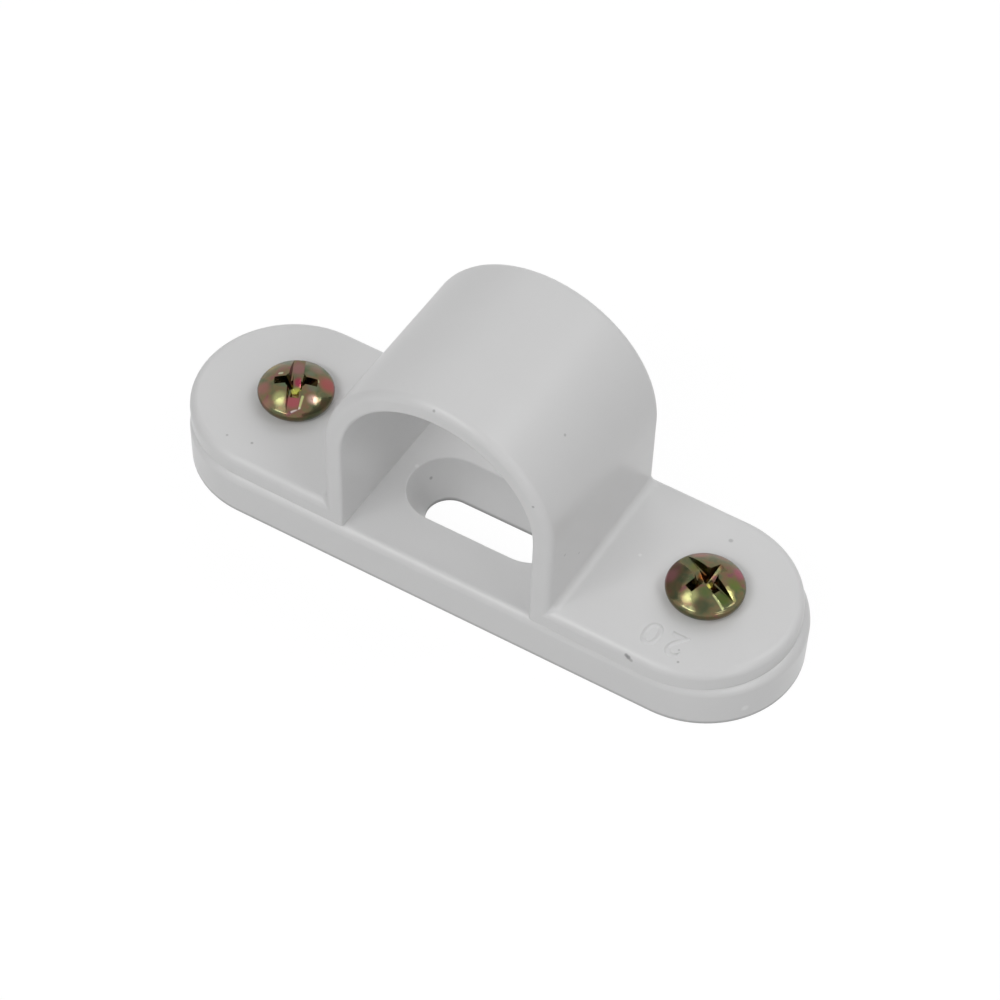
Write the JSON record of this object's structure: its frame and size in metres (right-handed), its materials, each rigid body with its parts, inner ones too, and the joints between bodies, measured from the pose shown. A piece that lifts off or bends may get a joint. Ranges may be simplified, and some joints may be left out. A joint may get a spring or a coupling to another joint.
{
  "type": "spacer saddle",
  "caption": "Round-ended plastic conduit saddle: an arched strap screwed down on a spacer bar that has a sunk slot for the wall screw.",
  "frame": {"origin": "middle of the spacer base's underside, the face that lies on the wall", "axes": "+X along the saddle, +Y along the conduit, +Z out from the wall"},
  "size_m": [0.0655, 0.0203, 0.0275],
  "materials": {
    "base_plastic": "moulded white, satin gloss",
    "strap_plastic": "moulded white, satin gloss",
    "screw_steel": "yellow passivated zinc plate, iridescent",
    "insert_brass": "turned, bare"
  },
  "bodies": {
    "root": {"spacer_base": "base_plastic", "saddle_strap": "strap_plastic", "screw_left": "screw_steel", "screw_right": "screw_steel", "insert_left": "insert_brass", "insert_right": "insert_brass"}
  },
  "joints": []
}
